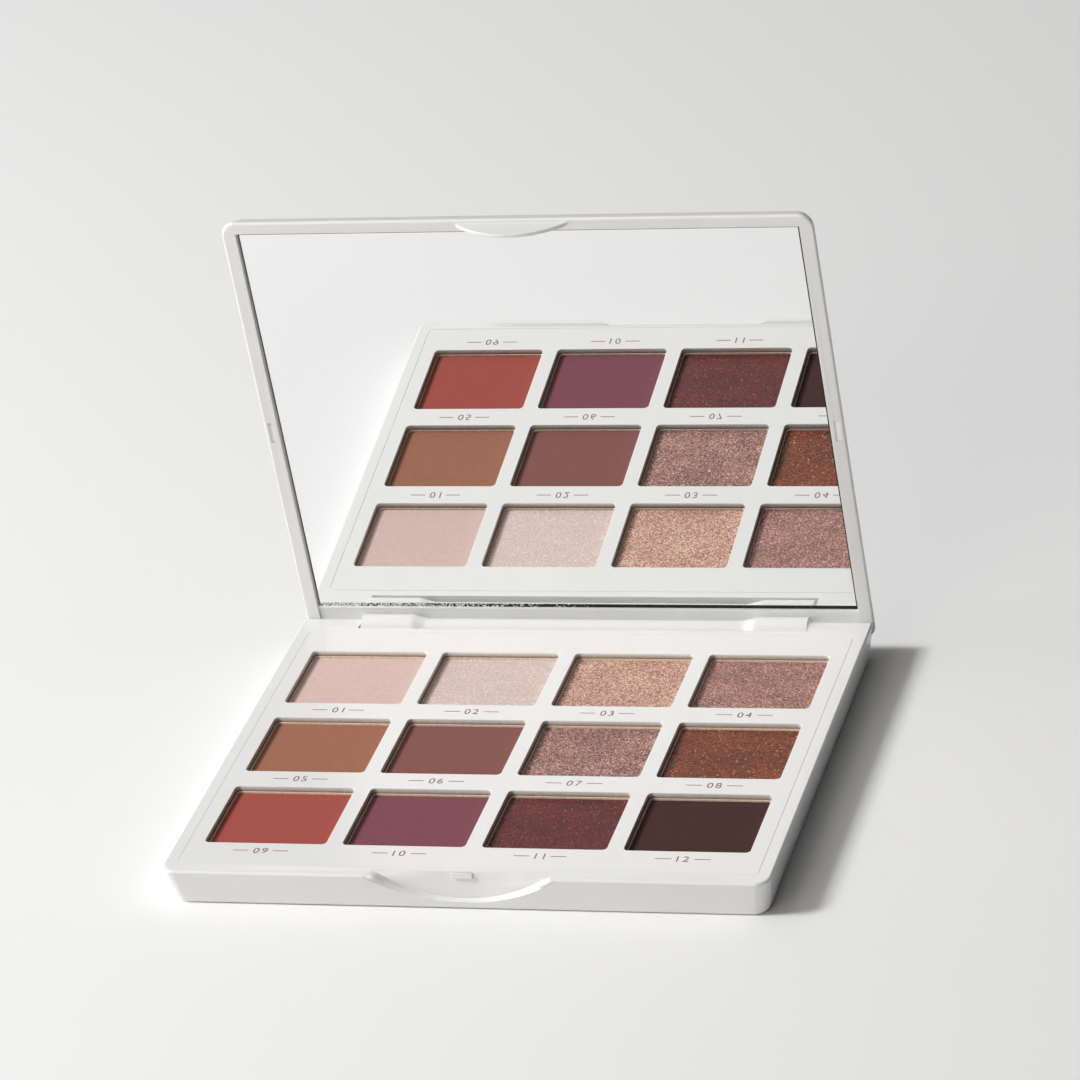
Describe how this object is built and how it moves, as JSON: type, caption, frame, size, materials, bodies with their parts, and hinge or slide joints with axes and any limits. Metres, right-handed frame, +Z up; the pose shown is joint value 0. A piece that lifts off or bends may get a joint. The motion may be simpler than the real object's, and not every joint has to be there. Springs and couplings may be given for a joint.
{
  "type": "eyeshadow palette",
  "caption": "Flat hinged white eyeshadow palette with a full-width mirror in the lid, a thumb notch and a grid of pressed powders in tin pans.",
  "frame": {"origin": "centre of the shut case's outline, on the underside of the base", "axes": "+X along the hinge to the right, +Y from the thumb notch back to the hinge, +Z up out of the table"},
  "size_m": [0.1272, 0.1083, 0.108],
  "materials": {
    "case_plastic": "warm white injection-moulded plastic, glossy",
    "glue": "hot-melt glue",
    "pan_tin": "pressed tinplate",
    "hinge_steel": "drawn steel wire",
    "tape": "double-sided foam film",
    "mirror": "silvered float glass with cut edges",
    "shade_ink": "pad-printed ink of the shade numbers",
    "powder_01": "matte pressed powder",
    "powder_02": "fine shimmer pressed powder",
    "powder_03": "metallic shimmer pressed powder",
    "powder_04": "shimmer pressed powder",
    "powder_05": "matte pressed powder",
    "powder_06": "matte pressed powder",
    "powder_07": "glitter pressed powder",
    "powder_08": "glitter pressed powder",
    "powder_09": "matte pressed powder",
    "powder_10": "matte pressed powder",
    "powder_11": "satin shimmer pressed powder",
    "powder_12": "matte pressed powder"
  },
  "bodies": {
    "base": {"base_tray": "case_plastic", "pan_plate": "case_plastic", "pan_glue": "glue", "pan_01": "pan_tin", "pan_02": "pan_tin", "pan_03": "pan_tin", "pan_04": "pan_tin", "pan_05": "pan_tin", "pan_06": "pan_tin", "pan_07": "pan_tin", "pan_08": "pan_tin", "pan_09": "pan_tin", "pan_10": "pan_tin", "pan_11": "pan_tin", "pan_12": "pan_tin", "powder_01": "powder_01", "powder_02": "powder_02", "powder_03": "powder_03", "powder_04": "powder_04", "powder_05": "powder_05", "powder_06": "powder_06", "powder_07": "powder_07", "powder_08": "powder_08", "powder_09": "powder_09", "powder_10": "powder_10", "powder_11": "powder_11", "powder_12": "powder_12", "hinge_pin_left": "hinge_steel", "hinge_pin_right": "hinge_steel"},
    "lid": {"lid_shell": "case_plastic", "mirror_tape": "tape", "mirror_glass": "mirror"}
  },
  "joints": [
    {"name": "lid_hinge", "type": "hinge", "parent": "base", "child": "lid", "pos_m": [0, 0.04958, 0.0065], "axis": [-1, 0, 0], "range_deg": [-84.6, 25.4]}
  ]
}
